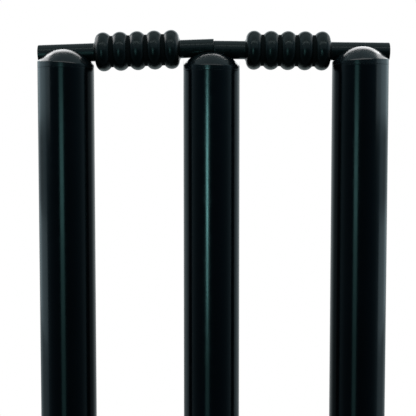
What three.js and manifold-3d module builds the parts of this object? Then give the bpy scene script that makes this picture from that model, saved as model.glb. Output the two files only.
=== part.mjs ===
// Cricket stumps: three domed stumps with two turned bails, standing in a moulded base.
// Sizes are millimetres and +Z is up. The origin is on the floor, midway between the outer stumps.
// +X runs along the wicket to the viewer's right, and -Y faces the viewer.
import * as THREE from "three";
import { mergeVertices } from "three/addons/utils/BufferGeometryUtils.js";
import Module from "manifold-3d";

const wasm = await Module();
wasm.setup();

// The wicket as a whole. The middle stump stands a little left of halfway, and the outer
// tubes are cut a little longer than its own.
const wicketWidth = 228.6;
const wicketHeight = 711.2;
const middleStumpX = -1;
const leftExtraLength = 1.7;
const rightExtraLength = 3.5;

// Clearances and finish of the cuts
const fitGap = 0.2;
const seatGap = 0.3;
const innerSeatGap = 0.7;
const cutOverrun = 5;

// Stump tube
const stumpDiameter = 36.7;
const tubeWall = 2.6;
const tubeChamfer = 0.15;

// Top cap: a dome over a short band, on a hollow plug that fits the tube
const domeHeight = 9.9;
const capBand = 3;
const creaseFillet = 2;
const creaseOverhang = 0.08;
const capPlugLength = 26;
const capPlugWall = 2.4;
const capRoof = 3;
const plugLeadIn = 1;

// Degrees by which each dome leans on its band, clockwise for the viewer
const leftDomeLean = 4.2;
const middleDomeLean = 1.5;
const rightDomeLean = -2.6;

// Groove across the cap for the bail: height of its floor over the dome's edge
const grooveSideGap = 0.5;
const leftGrooveRise = 0.4;
const middleGrooveRise = 4.2;
const rightGrooveRise = -0.2;

// Foot plug that closes the tube's lower end
const footFlange = 4;
const footPlugLength = 30;
const footChamfer = 1.2;

// Gripping ribs on both plugs
const gripRibCount = 6;
const gripRibWidth = 1.6;
const gripRibHeight = 0.6;

// Bail. The two lie end to end, and meet a little right of halfway.
const spigotDiameter = 11.8;
const spigotChamfer = 0.5;
const bailEndGap = 0.35;
const bailEndInset = 0.25;
const bailMeetingX = 0.45;

// Beaded barrel between the spigots: its gaps to the stumps, outer one and both together
const barrelDiameter = 25.2;
const leftBarrelGap = 0.5;
const rightBarrelGap = 0.95;
const barrelGaps = 3.35;
const beadCount = 5;
const beadDepth = 2.6;
const beadFlank = 0.7;
const beadRadiusShare = 0.455;

// Base moulding
const baseEndReach = 50;
const baseDepth = 156;
const baseCornerRadius = 46;
const baseWall = 3.5;
const deckHeight = 30;
const deckThickness = 4;
const rimLift = 3;
const rimHeight = 13;
const rimDraft = 1;
const shoulderRun = 25;

// Sockets in the base
const socketFloorHeight = 10;
const socketFloorThickness = 4;
const socketDrainDiameter = 8;
const collarTopHeight = 76;
const collarWall = 4.2;
const collarDraft = 1.2;
const collarFillet = 6;
const collarLipRadius = 1.6;

// Web that ties the collars together above the deck
const webThickness = 5;
const webDrop = 16;
const webDip = 24;

// Ribs and screw bosses under the deck
const ribThickness = 3;
const ribLift = 3;
const bossDiameter = 15;
const pilotGap = 0.2;
const pilotSpare = 1;

// Rubber feet and their screws
const footInsetX = 40;
const footInsetY = 30;
const footDiameter = 27;
const footHeight = 8;
const footTaper = 1.5;
const counterboreDiameter = 13;
const counterboreDepth = 4.4;
const screwShankDiameter = 4;
const screwShankLength = 14;
const screwHeadDiameter = 9;
const screwHeadHeight = 2.8;
const screwHeadRound = 0.9;
const screwPoint = 2;
const screwHoleGap = 0.4;

// How finely curves are divided
const stumpSides = 32;
const bailSides = 24;
const footSides = 16;
const screwSides = 12;
const domeSteps = 8;
const filletSteps = 3;
const collarSteps = 2;
const beadSteps = 5;
const cornerSteps = 5;
const shoulderSteps = 4;
const grooveSteps = 8;

// Sizes that follow from those above
const stumpRadius = stumpDiameter / 2;
const boreRadius = stumpRadius - tubeWall;
const plugRadius = boreRadius - fitGap;
const spigotRadius = spigotDiameter / 2;
const grooveRadius = spigotRadius + grooveSideGap;
const domeRadius = (stumpRadius ** 2 + domeHeight ** 2) / (2 * domeHeight);
const domeDrop = domeRadius - domeHeight;
const lipRise = Math.sqrt(domeRadius ** 2 - grooveRadius ** 2) - domeDrop;
const seamHeight = wicketHeight - lipRise - capBand;
const stumpPitch = (wicketWidth - stumpDiameter) / 2;
const bailLength = (wicketWidth - bailEndGap) / 2 - bailEndInset;
const barrelLength = stumpPitch - stumpDiameter - barrelGaps;
const beadPitch = (barrelLength - 2 * beadFlank) / (beadCount - 1 + 2 * beadRadiusShare);
const beadRadius = beadRadiusShare * beadPitch;
const baseLength = wicketWidth + 2 * baseEndReach;
const socketRadius = stumpRadius + seatGap;
const collarRadius = socketRadius + collarWall;
const stumps = {
  left: {
    x: -stumpPitch,
    seam: seamHeight + leftExtraLength,
    lean: THREE.MathUtils.degToRad(leftDomeLean),
    rise: leftGrooveRise,
  },
  middle: {
    x: middleStumpX,
    seam: seamHeight,
    lean: THREE.MathUtils.degToRad(middleDomeLean),
    rise: middleGrooveRise,
  },
  right: {
    x: stumpPitch,
    seam: seamHeight + rightExtraLength,
    lean: THREE.MathUtils.degToRad(rightDomeLean),
    rise: rightGrooveRise,
  },
};

const bails = {
  left: { inset: bailEndInset + bailMeetingX, barrelGap: leftBarrelGap },
  right: { inset: bailEndInset - bailMeetingX, barrelGap: rightBarrelGap },
};

// Materials
function plastic(colour, roughness) {
  return new THREE.MeshStandardMaterial({ color: colour, roughness, metalness: 0 });
}
const glossBlack = plastic(0x10171a, 0.22);
const satinBlack = plastic(0x171d20, 0.34);
const baseBlack = plastic(0x14181a, 0.5);
const rubberBlack = plastic(0x0d0e0f, 0.85);
const zincPlate = new THREE.MeshStandardMaterial({ color: 0x9a9c9c, roughness: 0.35, metalness: 1 });

// A closed geometry as a solid for cutting and joining.
function solidOf(geometry) {
  const bare = new THREE.BufferGeometry();
  bare.setAttribute("position", geometry.getAttribute("position").clone());
  bare.setIndex(geometry.index);
  const merged = mergeVertices(bare);
  const triVerts = [];
  for (let i = 0; i < merged.index.count; i += 3) {
    const [a, b, c] = [0, 1, 2].map((k) => merged.index.getX(i + k));
    if (a !== b && b !== c && c !== a) triVerts.push(a, b, c);
  }
  const vertProperties = merged.getAttribute("position").array;
  return new wasm.Manifold(
    new wasm.Mesh({ numProp: 3, vertProperties, triVerts: new Uint32Array(triVerts) }),
  );
}

// A solid back as a geometry with its triangles shaded flat.
function geometryOf(solid) {
  const mesh = solid.getMesh();
  const geometry = new THREE.BufferGeometry();
  geometry.setAttribute("position", new THREE.BufferAttribute(mesh.vertProperties, mesh.numProp));
  geometry.setIndex(new THREE.BufferAttribute(mesh.triVerts, 1));
  const flat = geometry.toNonIndexed();
  flat.computeVertexNormals();
  return flat;
}

// A profile of [radius, height] pairs turned about the Z axis.
function turned(profile, sides) {
  const points = profile.map(([r, z]) => new THREE.Vector2(r, z));
  return new THREE.LatheGeometry(points, sides).rotateX(Math.PI / 2);
}

// A shape drawn in Y and Z, drawn out along X and centred on it.
function drawnAlongX(shape, length, steps) {
  const geometry = new THREE.ExtrudeGeometry(shape, {
    depth: length,
    bevelEnabled: false,
    curveSegments: steps,
  });
  geometry.translate(0, 0, -length / 2);
  const turn = new THREE.Matrix4().makeBasis(
    new THREE.Vector3(0, 1, 0),
    new THREE.Vector3(0, 0, 1),
    new THREE.Vector3(1, 0, 0),
  );
  return geometry.applyMatrix4(turn);
}

// A shape drawn in X and Z, drawn out along Y and centred on it.
function drawnAlongY(shape, length, steps) {
  const geometry = new THREE.ExtrudeGeometry(shape, {
    depth: length,
    bevelEnabled: false,
    curveSegments: steps,
  });
  return geometry.translate(0, 0, -length / 2).rotateX(Math.PI / 2);
}

// Points on an arc, from one angle to another, the last one included.
function arc(centreX, centreY, radius, from, to, steps) {
  return Array.from({ length: steps + 1 }, (_, i) => {
    const angle = from + ((to - from) * i) / steps;
    return [centreX + radius * Math.cos(angle), centreY + radius * Math.sin(angle)];
  });
}

// A plain upright cylinder between two heights.
function cylinder(radius, low, high, sides) {
  return turned([[0, low], [radius, low], [radius, high], [0, high]], sides);
}

// Ribs round a plug that grip the tube's bore.
function gripRibs(low, high) {
  const reach = plugRadius;
  const ribs = [];
  for (let i = 0; i < gripRibCount; i++) {
    const rib = new THREE.BoxGeometry(2 * gripRibHeight, gripRibWidth, high - low);
    rib.translate(reach - gripRibHeight, 0, (low + high) / 2);
    rib.rotateZ((2 * Math.PI * (i + 0.5)) / gripRibCount);
    ribs.push(solidOf(rib));
  }
  return ribs;
}

// The dome and its rounded edge over a wider skirt. The dome's edge is at height 0.
function domeEnvelope(lean) {
  const edge = stumpRadius + creaseOverhang;
  const skirt = stumpRadius + creaseFillet;
  const filletCentre = edge - creaseFillet;
  const filletHeight = Math.sqrt((domeRadius - creaseFillet) ** 2 - filletCentre ** 2) - domeDrop;
  const turnAngle = Math.atan2(filletHeight + domeDrop, filletCentre);
  const profile = [
    [0, -capPlugLength - cutOverrun],
    [skirt, -capPlugLength - cutOverrun],
    [skirt, filletHeight - creaseFillet],
    ...arc(filletCentre, filletHeight, creaseFillet, 0, turnAngle, filletSteps),
    ...arc(0, -domeDrop, domeRadius, turnAngle, Math.PI / 2, domeSteps).slice(1, -1),
    [0, domeHeight],
  ];
  return solidOf(turned(profile, stumpSides).rotateY(lean).translate(0, 0, capBand));
}

// The band and the hollow plug under it. The seam on the tube is at height 0.
function capBody(grooveFloor) {
  const cavityRadius = plugRadius - capPlugWall;
  const cavityTop = Math.min(0, grooveFloor - capRoof);
  const skirt = plugRadius - gripRibHeight;
  const profile = [
    [0, cavityTop],
    [cavityRadius, cavityTop],
    [cavityRadius, -capPlugLength],
    [skirt - plugLeadIn, -capPlugLength],
    [skirt, plugLeadIn - capPlugLength],
    [skirt, 0],
    [stumpRadius - tubeChamfer, 0],
    [stumpRadius, tubeChamfer],
    [stumpRadius, capBand + domeRadius],
    [0, capBand + domeRadius],
  ];
  return gripRibs(2 * plugLeadIn - capPlugLength, -plugLeadIn).reduce(
    (whole, rib) => whole.add(rib),
    solidOf(turned(profile, stumpSides)),
  );
}

// A round-bottomed groove that runs across the cap, sloping by the given angle.
function grooveCutter(grooveFloor, slope) {
  const top = domeRadius + cutOverrun;
  const shape = new THREE.Shape();
  shape.moveTo(-grooveRadius, top);
  shape.lineTo(-grooveRadius, grooveRadius);
  shape.absarc(0, grooveRadius, grooveRadius, Math.PI, 2 * Math.PI, false);
  shape.lineTo(grooveRadius, top);
  shape.closePath();
  const groove = drawnAlongX(shape, stumpDiameter + 2 * cutOverrun, grooveSteps);
  return solidOf(groove.rotateY(slope).translate(0, 0, grooveFloor));
}

// An outer groove lies in line with its bail, and the middle one leans with its dome.
function grooveSlope(place) {
  if (place === "middle") return stumps.middle.lean;
  return place === "left" ? -bailSeat(place).tilt : bailSeat(place).tilt;
}

function capGeometry(place) {
  const grooveFloor = capBand + stumps[place].rise;
  return geometryOf(
    capBody(grooveFloor)
      .intersect(domeEnvelope(stumps[place].lean))
      .subtract(grooveCutter(grooveFloor, grooveSlope(place))),
  );
}

function tubeGeometry(place) {
  const low = socketFloorHeight + footFlange;
  const high = stumps[place].seam;
  return turned(
    [
      [boreRadius, low],
      [stumpRadius - tubeChamfer, low],
      [stumpRadius, low + tubeChamfer],
      [stumpRadius, high - tubeChamfer],
      [stumpRadius - tubeChamfer, high],
      [boreRadius, high],
      [boreRadius, low],
    ],
    stumpSides,
  );
}

// The foot plug: a flange as wide as the tube under a hollow plug, open at the top.
function footPlugGeometry() {
  const low = socketFloorHeight;
  const seam = low + footFlange;
  const high = seam + footPlugLength;
  const skirt = plugRadius - gripRibHeight;
  const cavityRadius = plugRadius - capPlugWall;
  const profile = [
    [0, low],
    [stumpRadius - footChamfer, low],
    [stumpRadius, low + footChamfer],
    [stumpRadius, seam - tubeChamfer],
    [stumpRadius - tubeChamfer, seam],
    [skirt, seam],
    [skirt, high - plugLeadIn],
    [skirt - plugLeadIn, high],
    [cavityRadius, high],
    [cavityRadius, seam],
    [0, seam],
  ];
  return geometryOf(
    gripRibs(seam + plugLeadIn, high - 2 * plugLeadIn).reduce(
      (whole, rib) => whole.add(rib),
      solidOf(turned(profile, stumpSides)),
    ),
  );
}

// A bail's outline along its axis, as [radius, distance from its outer end].
function bailProfile(side) {
  const { inset, barrelGap } = bails[side];
  const longSpigot = stumpDiameter + barrelGap - inset;
  const ringRadius = barrelDiameter / 2 - beadRadius;
  const valleyAngle = Math.asin((beadRadius - beadDepth) / beadRadius);
  const firstBead = longSpigot + beadFlank + beadRadius;
  const profile = [
    [0, 0],
    [spigotRadius - spigotChamfer, 0],
    [spigotRadius, spigotChamfer],
    [spigotRadius, longSpigot],
  ];
  for (let i = 0; i < beadCount; i++) {
    const from = i === 0 ? 0 : valleyAngle;
    const to = Math.PI - (i === beadCount - 1 ? 0 : valleyAngle);
    for (let k = 0; k <= beadSteps; k++) {
      const angle = from + ((to - from) * k) / beadSteps;
      const along = firstBead + i * beadPitch - beadRadius * Math.cos(angle);
      profile.push([ringRadius + beadRadius * Math.sin(angle), along]);
    }
  }
  profile.push(
    [spigotRadius, longSpigot + barrelLength],
    [spigotRadius, bailLength - spigotChamfer],
    [spigotRadius - spigotChamfer, bailLength],
    [0, bailLength],
  );
  return profile;
}

// A bail lies along +X from the outer end of its long spigot, with its axis on X.
function bailGeometry(side) {
  const points = bailProfile(side).map(([r, x]) => new THREE.Vector2(r, x));
  return new THREE.LatheGeometry(points, bailSides).rotateZ(-Math.PI / 2);
}

// One level of the base's outline, as a ring of points.
function baseRing(inset, height) {
  const radius = baseCornerRadius - inset;
  const x = baseLength / 2 - inset - radius;
  const y = baseDepth / 2 - inset - radius;
  const corners = [[x, y], [-x, y], [-x, -y], [x, -y]];
  return corners.flatMap(([cx, cy], i) =>
    arc(cx, cy, radius, (i * Math.PI) / 2, ((i + 1) * Math.PI) / 2, cornerSteps)
      .map(([px, py]) => [px, py, height]));
}

// A closed body lofted through rings with equal numbers of points, lowest ring first.
function lofted(rings) {
  const count = rings[0].length;
  const index = [];
  for (let level = 0; level + 1 < rings.length; level++) {
    for (let i = 0; i < count; i++) {
      const a = level * count + i;
      const b = level * count + ((i + 1) % count);
      index.push(a, b, b + count, a, b + count, a + count);
    }
  }
  const top = (rings.length - 1) * count;
  for (let i = 1; i + 1 < count; i++) {
    index.push(0, i + 1, i, top, top + i, top + i + 1);
  }
  const geometry = new THREE.BufferGeometry();
  geometry.setAttribute("position", new THREE.Float32BufferAttribute(rings.flat(2), 3));
  geometry.setIndex(index);
  return geometry;
}

// The base's outside or, with a wall, its inside: an upright rim under a rounded shoulder.
function baseBody(wall, bottom, top) {
  const rings = [baseRing(wall, bottom)];
  for (let i = 0; i <= shoulderSteps; i++) {
    const angle = ((Math.PI / 2) * i) / shoulderSteps;
    const inset = wall + rimDraft + shoulderRun * (1 - Math.cos(angle));
    rings.push(baseRing(inset, rimHeight + (top - rimHeight) * Math.sin(angle)));
  }
  return solidOf(lofted(rings));
}

// A socket's cup and collar before it is bored, filleted where it leaves the deck.
function collarBlank(x) {
  const low = socketFloorHeight - socketFloorThickness;
  const foot = collarRadius + collarDraft;
  const root = deckHeight - deckThickness / 2;
  const filletX = foot + collarFillet;
  const filletZ = deckHeight + collarFillet;
  const lip = collarRadius - collarLipRadius;
  const lipHeight = collarTopHeight - collarLipRadius;
  const profile = [
    [0, low],
    [foot, low],
    [foot, root],
    [filletX, root],
    ...arc(filletX, filletZ, collarFillet, -Math.PI / 2, -Math.PI, collarSteps),
    ...arc(lip, lipHeight, collarLipRadius, 0, Math.PI / 2, collarSteps),
    [0, collarTopHeight],
  ];
  return solidOf(turned(profile, stumpSides).translate(x, 0, 0));
}

// The hole for the stump and the drain under it.
function socketCutter(x) {
  const drainLow = socketFloorHeight - socketFloorThickness - cutOverrun;
  const drainRadius = socketDrainDiameter / 2;
  const top = collarTopHeight + cutOverrun;
  const profile = [
    [0, drainLow],
    [drainRadius, drainLow],
    [drainRadius, socketFloorHeight],
    [socketRadius, socketFloorHeight],
    [socketRadius, top],
    [0, top],
  ];
  return solidOf(turned(profile, stumpSides).translate(x, 0, 0));
}

// The long web that ties the three collars together and runs out to the ends of the deck.
function webBlank() {
  const root = deckHeight - deckThickness / 2;
  const crown = collarTopHeight - webDrop;
  const end = baseLength / 2 - rimDraft - shoulderRun;
  const middle = stumps.middle.x;
  const shape = new THREE.Shape();
  shape.moveTo(-end, root);
  shape.lineTo(-end, deckHeight);
  shape.quadraticCurveTo(-stumpPitch - collarRadius, deckHeight, -stumpPitch - socketRadius, crown);
  shape.lineTo(-stumpPitch + socketRadius, crown);
  shape.quadraticCurveTo(-stumpPitch / 2, crown - webDip, middle - socketRadius, crown);
  shape.lineTo(middle + socketRadius, crown);
  shape.quadraticCurveTo(stumpPitch / 2, crown - webDip, stumpPitch - socketRadius, crown);
  shape.lineTo(stumpPitch + socketRadius, crown);
  shape.quadraticCurveTo(stumpPitch + collarRadius, deckHeight, end, deckHeight);
  shape.lineTo(end, root);
  shape.closePath();
  return solidOf(drawnAlongY(shape, webThickness, cornerSteps));
}

// A straight rib under the deck, given its size along X and Y and where it stands.
function underRib(sizeX, sizeY, x) {
  const low = rimLift + ribLift;
  const rib = new THREE.BoxGeometry(sizeX, sizeY, deckHeight - low);
  return solidOf(rib.translate(x, 0, (deckHeight + low) / 2));
}

function underRibs() {
  const ribs = [underRib(baseLength, ribThickness, 0)];
  for (const { x } of Object.values(stumps)) ribs.push(underRib(ribThickness, baseDepth, x));
  for (const side of [-1, 1]) {
    ribs.push(underRib(ribThickness, baseDepth, (side * stumpPitch) / 2));
  }
  return ribs.reduce((all, rib) => all.add(rib));
}

// The four places of the feet: left front, left rear, right front and right rear.
function footPlaces() {
  const x = baseLength / 2 - footInsetX;
  const y = baseDepth / 2 - footInsetY;
  return [[-x, -y], [-x, y], [x, -y], [x, y]];
}

function footBosses() {
  return footPlaces()
    .map(([x, y]) => solidOf(cylinder(bossDiameter / 2, footHeight, deckHeight, screwSides)
      .translate(x, y, 0)))
    .reduce((all, boss) => all.add(boss));
}

function pilotHoles() {
  const bearing = counterboreDepth;
  const top = bearing + screwShankLength + pilotSpare;
  const radius = screwShankDiameter / 2 + pilotGap;
  return footPlaces()
    .map(([x, y]) => solidOf(cylinder(radius, footHeight - cutOverrun, top, screwSides)
      .translate(x, y, 0)))
    .reduce((all, hole) => all.add(hole));
}

function baseGeometry() {
  const outside = baseBody(0, rimLift, deckHeight);
  const inside = baseBody(baseWall, rimLift - cutOverrun, deckHeight - deckThickness);
  const core = baseBody(baseWall / 2, rimLift, deckHeight - deckThickness / 2);
  const stiffening = underRibs().add(footBosses()).intersect(core);
  let base = outside.subtract(inside).add(stiffening).add(webBlank());
  for (const { x } of Object.values(stumps)) base = base.add(collarBlank(x));
  for (const { x } of Object.values(stumps)) base = base.subtract(socketCutter(x));
  return geometryOf(base.subtract(pilotHoles()));
}

// A rubber foot with a counterbored screw hole, standing on the floor.
function rubberFootGeometry() {
  const hole = screwShankDiameter / 2 + screwHoleGap;
  const radius = footDiameter / 2;
  const counterbore = counterboreDiameter / 2;
  return turned(
    [
      [counterbore, 0],
      [radius - footTaper, 0],
      [radius, footTaper],
      [radius - footTaper, footHeight],
      [hole, footHeight],
      [hole, counterboreDepth],
      [counterbore, counterboreDepth],
      [counterbore, 0],
    ],
    footSides,
  );
}

// A pan-head screw, driven upwards through a foot into its boss.
function screwGeometry() {
  const head = screwHeadDiameter / 2;
  const shank = screwShankDiameter / 2;
  const bearing = counterboreDepth;
  const low = bearing - screwHeadHeight;
  const tip = bearing + screwShankLength;
  return turned(
    [
      [0, low],
      [head - screwHeadRound, low],
      [head, low + screwHeadRound],
      [head, bearing],
      [shank, bearing],
      [shank, tip - screwPoint],
      [0, tip],
    ],
    screwSides,
  );
}

// Where a bail lies: in the groove of its outer stump and over the near edge of the middle one.
function bailSeat(side) {
  const outerRest = stumps[side].seam + capBand + stumps[side].rise + seatGap;
  const inward = side === "left" ? 1 : -1;
  const nearEdge = Math.sqrt(domeRadius ** 2 - (domeDrop + middleGrooveRise) ** 2);
  const edgeLift = inward * nearEdge * Math.tan(stumps.middle.lean);
  const innerFloor = stumps.middle.seam + capBand + middleGrooveRise + edgeLift;
  const innerRest = innerFloor + innerSeatGap;
  const span = stumpPitch + inward * stumps.middle.x - nearEdge;
  const tilt = Math.atan2(innerRest - outerRest, span);
  const overhang = stumpRadius - bails[side].inset;
  const axisHeight = outerRest + spigotRadius;
  return {
    tilt,
    outerEnd: stumpPitch + overhang * Math.cos(tilt),
    height: axisHeight - overhang * Math.sin(tilt),
  };
}

const group = new THREE.Group();

function addMesh(parent, name, geometry, material) {
  const mesh = new THREE.Mesh(geometry, material);
  mesh.name = name;
  parent.add(mesh);
  return mesh;
}

function addStump(place) {
  const stump = new THREE.Group();
  stump.position.x = stumps[place].x;
  addMesh(stump, `${place}_stump_tube`, tubeGeometry(place), glossBlack);
  addMesh(stump, `${place}_top_cap`, capGeometry(place), satinBlack)
    .position.z = stumps[place].seam;
  addMesh(stump, `${place}_foot_plug`, footPlugGeometry(), satinBlack);
  group.add(stump);
}

function addBail(side) {
  const { tilt, outerEnd, height } = bailSeat(side);
  const bail = addMesh(group, `${side}_bail`, bailGeometry(side), satinBlack);
  if (side === "left") {
    bail.position.set(-outerEnd, 0, height);
    bail.rotation.y = -tilt;
  } else {
    bail.position.set(outerEnd, 0, height);
    bail.rotation.set(0, tilt, Math.PI, "YXZ");
  }
}

function addFeet() {
  const names = ["left_front", "left_rear", "right_front", "right_rear"];
  footPlaces().forEach(([x, y], i) => {
    addMesh(group, `${names[i]}_foot`, rubberFootGeometry(), rubberBlack).position.set(x, y, 0);
    addMesh(group, `${names[i]}_foot_screw`, screwGeometry(), zincPlate).position.set(x, y, 0);
  });
}

for (const place of Object.keys(stumps)) addStump(place);
addBail("left");
addBail("right");
addMesh(group, "base", baseGeometry(), baseBlack);
addFeet();

export default group;
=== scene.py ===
"""The looks of a free-standing cricket wicket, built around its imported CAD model.

Lengths are millimetres until a mesh is made, which turns them into Blender's metres.
+X is the viewer's right, -Y faces the viewer and +Z is up.
"""

import math

import bmesh
import bpy
import numpy as np
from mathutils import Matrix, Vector


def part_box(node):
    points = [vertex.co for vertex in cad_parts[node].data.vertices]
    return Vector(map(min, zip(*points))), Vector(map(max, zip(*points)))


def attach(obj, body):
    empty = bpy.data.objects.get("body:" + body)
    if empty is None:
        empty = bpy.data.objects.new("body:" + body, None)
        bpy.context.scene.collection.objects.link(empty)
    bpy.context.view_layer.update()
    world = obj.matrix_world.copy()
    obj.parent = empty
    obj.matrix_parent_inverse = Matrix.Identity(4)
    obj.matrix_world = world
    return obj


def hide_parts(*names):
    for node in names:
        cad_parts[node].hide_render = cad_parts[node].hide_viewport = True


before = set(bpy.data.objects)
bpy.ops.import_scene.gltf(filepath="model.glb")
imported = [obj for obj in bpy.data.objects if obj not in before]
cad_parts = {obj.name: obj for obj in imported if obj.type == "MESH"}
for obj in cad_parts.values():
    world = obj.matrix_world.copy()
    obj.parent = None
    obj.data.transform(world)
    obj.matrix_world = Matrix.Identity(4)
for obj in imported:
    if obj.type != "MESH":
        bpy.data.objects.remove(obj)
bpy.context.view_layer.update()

METRES = 0.001
STUMPS = ("left", "middle", "right")
FEET = ("left_front", "left_rear", "right_front", "right_rear")
BAIL_PIECES = ("left_bail_turned", "right_bail_turned")

# Stump: tube, cap and plugs
STUMP_RADIUS = 18.35
TUBE_WALL = 2.6
EDGE_ROUND = 0.15
DOME_HEIGHT = 9.9
CREASE_FILLET = 2
CREASE_OVERHANG = 0.08
CAP_BAND = 3
CAP_PLUG_LENGTH = 26
CAP_ROOF = 3
PLUG_RADIUS = 15.55
PLUG_RELIEF = 0.6
PLUG_WALL = 2.4
PLUG_LEAD_IN = 1
FLANGE_HEIGHT = 4
FLANGE_ROUND = 1.2
FOOT_PLUG_LENGTH = 30

# Each dome's lean, clockwise for the viewer, and its groove's height over the dome's edge
DOME_LEAN = {"left": 4.2, "middle": 1.5, "right": -2.6}
GROOVE_RISE = {"left": 0.4, "middle": 4.2, "right": -0.2}
GROOVE_RADIUS = 6.4
LIP_ROUND = 0.55

# Rows of points at these distances from rounded edges keep the faces beside them evenly shaded
STEADY = 0.6
CREASE_STEADY = 0.22
BAND_STEADY = 1

# Bail
SPIGOT_RADIUS = 5.9
SPIGOT_ROUND = 0.5
LONG_SPIGOT = {"left": 36.5, "right": 37.85}
BARREL_LENGTH = 55.9
BARREL_RADIUS = 12.6
BEAD_COUNT = 5
BEAD_DEPTH = 2.45
BEAD_RADIUS = 5.75
BEAD_END_RADIUS = 5.05
BEAD_FLANK = 0.7
FLANK_LEAN = 0.1
BAIL_FILLET = 0.35
INNER_END_GAP = 0.04
END_TOLERANCE = 0.01

# Base moulding
BASE_LENGTH = 328.6
BASE_DEPTH = 156
BASE_CORNER = 46
BASE_WALL = 3.5
DECK_HEIGHT = 30
DECK_THICKNESS = 4
RIM_LIFT = 3
RIM_HEIGHT = 13
RIM_DRAFT = 1
RIM_ROUND = 0.8
SHOULDER_RUN = 25
SOCKET_FLOOR = 10
SOCKET_FLOOR_THICKNESS = 4
SOCKET_RADIUS = 18.65
DRAIN_RADIUS = 4
COLLAR_TOP = 76
COLLAR_RADIUS = 22.85
COLLAR_DRAFT = 1.2
COLLAR_FILLET = 6
COLLAR_LIP = 1.6
BORE_ROUND = 0.7
WEB_THICKNESS = 5
WEB_ROUND = 0.9
WEB_CROWN = 60
WEB_DIP = 24
RIB_THICKNESS = 3
RIB_LOW = 6
BOSS_RADIUS = 7.5
PILOT_RADIUS = 2.2
PILOT_TOP = 19.4
PAST_SURFACE = 5

# Rubber feet and their screws
FOOT_RADIUS = 13.5
FOOT_HEIGHT = 8
FOOT_TAPER = 1.5
FOOT_EDGE_ROUND = 0.4
FOOT_SIDE_ROUND = 0.5
COUNTERBORE_RADIUS = 6.5
COUNTERBORE_DEPTH = 4.4
COUNTERBORE_ROUND = 0.3
SCREW_HOLE_RADIUS = 2.4
SCREW_HEAD_RADIUS = 4.5
SCREW_HEAD_HEIGHT = 2.8
SCREW_HEAD_ROUND = 1.1
SCREW_HEAD_EDGE = 0.2
SCREW_SHANK_RADIUS = 2
SCREW_SHANK_LENGTH = 14
SCREW_POINT = 2
SCREW_POINT_ROUND = 0.3
RECESS_WIDTH = 1.1
RECESS_REACH = 2.3
RECESS_DEPTH = 1.5
RECESS_OVERRUN = 1

# How finely curves are divided
TUBE_SIDES = 96
BAIL_SIDES = 72
FOOT_SIDES = 48
SCREW_SIDES = 32
BEAD_STEPS = 20
ROUND_STEPS = 4
COLLAR_STEPS = 8
CORNER_STEPS = 14
SHOULDER_STEPS = 12
SWOOP_STEPS = 18
FINE_STEPS = 160
DOME_ROWS = 22
LIP_ROWS = 8
BOWL_ROWS = 18
STATION_COUNT = 84
FEWEST_STATIONS = 8

# How the cap's rows are found: rounds of fitting, the longest lip's share of a line, how far the rows
# crowd to the rim, and the shares of the radius between which the groove's sides meet the rim
LEAN_ROUNDS = 40
HALVINGS = 50
LONGEST_LIP = 0.45
RIM_CROWDING = 1.8
WELL_INSIDE = 0.9
JUST_INSIDE = 0.9999

# Meshes are cleaned up to these sizes in metres, and edges over these angles in degrees stay sharp
MERGE_DISTANCE = 1e-7
FLAT_DISTANCE = 1e-8
SHARP_ANGLE = 32
BASE_SHARP_ANGLE = 28

# Materials: lengths in millimetres, and the Mix node's sockets for colours
PLASTIC_IOR = 1.5
ALONG_TUBE = (1, 1, 0.012)
LEATHER_CELL = 1.1
NOISE_LOW, NOISE_HIGH = 0.3, 0.7
DUST_LOW, DUST_HIGH = 0.42, 0.75
# Painted shade on the floors between a bail's beads: the mark's name, the height over the floor in which
# it fades out, its near-black colour and its roughness
VALLEY_MARK = "valley"
VALLEY_SHADE = 0.4
VALLEY_PAINTED_SHADE = (0.0006, 0.0010, 0.0010)
VALLEY_ROUGHNESS = 0.95
MIX_SHARE, MIX_FIRST, MIX_SECOND, MIX_RESULT = 0, 6, 7, 2


# Meshes
def finished(mesh, sharp_degrees=SHARP_ANGLE):
    """Joins the points that meet, turns the faces outwards and shades them smoothly."""
    work = bmesh.new()
    work.from_mesh(mesh)
    bmesh.ops.remove_doubles(work, verts=work.verts, dist=MERGE_DISTANCE)
    bmesh.ops.dissolve_degenerate(work, edges=work.edges, dist=FLAT_DISTANCE)
    bmesh.ops.recalc_face_normals(work, faces=work.faces)
    work.to_mesh(mesh)
    work.free()
    mesh.shade_smooth()
    mesh.set_sharp_from_angle(angle=math.radians(sharp_degrees))


def piece(name, points, faces):
    """A new object in the scene from points in millimetres and their faces."""
    mesh = bpy.data.meshes.new(name)
    mesh.from_pydata([tuple(METRES * c for c in p) for p in points], [], faces)
    finished(mesh)
    thing = bpy.data.objects.new(name, mesh)
    bpy.context.scene.collection.objects.link(thing)
    return thing


def rounded(corners, steps=ROUND_STEPS):
    """A profile from [x, y, rounding] corners, with each rounding drawn as a curve."""
    line = []
    for i, (x, y, radius) in enumerate(corners):
        here = np.array([x, y], float)
        if not radius:
            line.append(here)
            continue
        before = np.array(corners[i - 1][:2], float) - here
        after = np.array(corners[(i + 1) % len(corners)][:2], float) - here
        start = here + radius * before / np.linalg.norm(before)
        stop = here + radius * after / np.linalg.norm(after)
        for t in np.linspace(0, 1, steps + 1):
            line.append((1 - t) ** 2 * start + 2 * t * (1 - t) * here + t * t * stop)
    return [tuple(p) for p in line]


def turned(profile, sides, closed=False):
    """Points and faces of a [radius, height] profile turned about the Z axis.

    A closed profile's last point joins its first."""
    angles = [2 * math.pi * k / sides for k in range(sides)]
    points = [(r * math.cos(a), r * math.sin(a), z) for r, z in profile for a in angles]
    rows = len(profile)
    faces = []
    for row in range(rows if closed else rows - 1):
        low, high = row * sides, ((row + 1) % rows) * sides
        for k in range(sides):
            after = (k + 1) % sides
            faces.append((low + k, low + after, high + after, high + k))
    return points, faces


def moved(points, place):
    return [(x + place[0], y + place[1], z + place[2]) for x, y, z in points]


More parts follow.
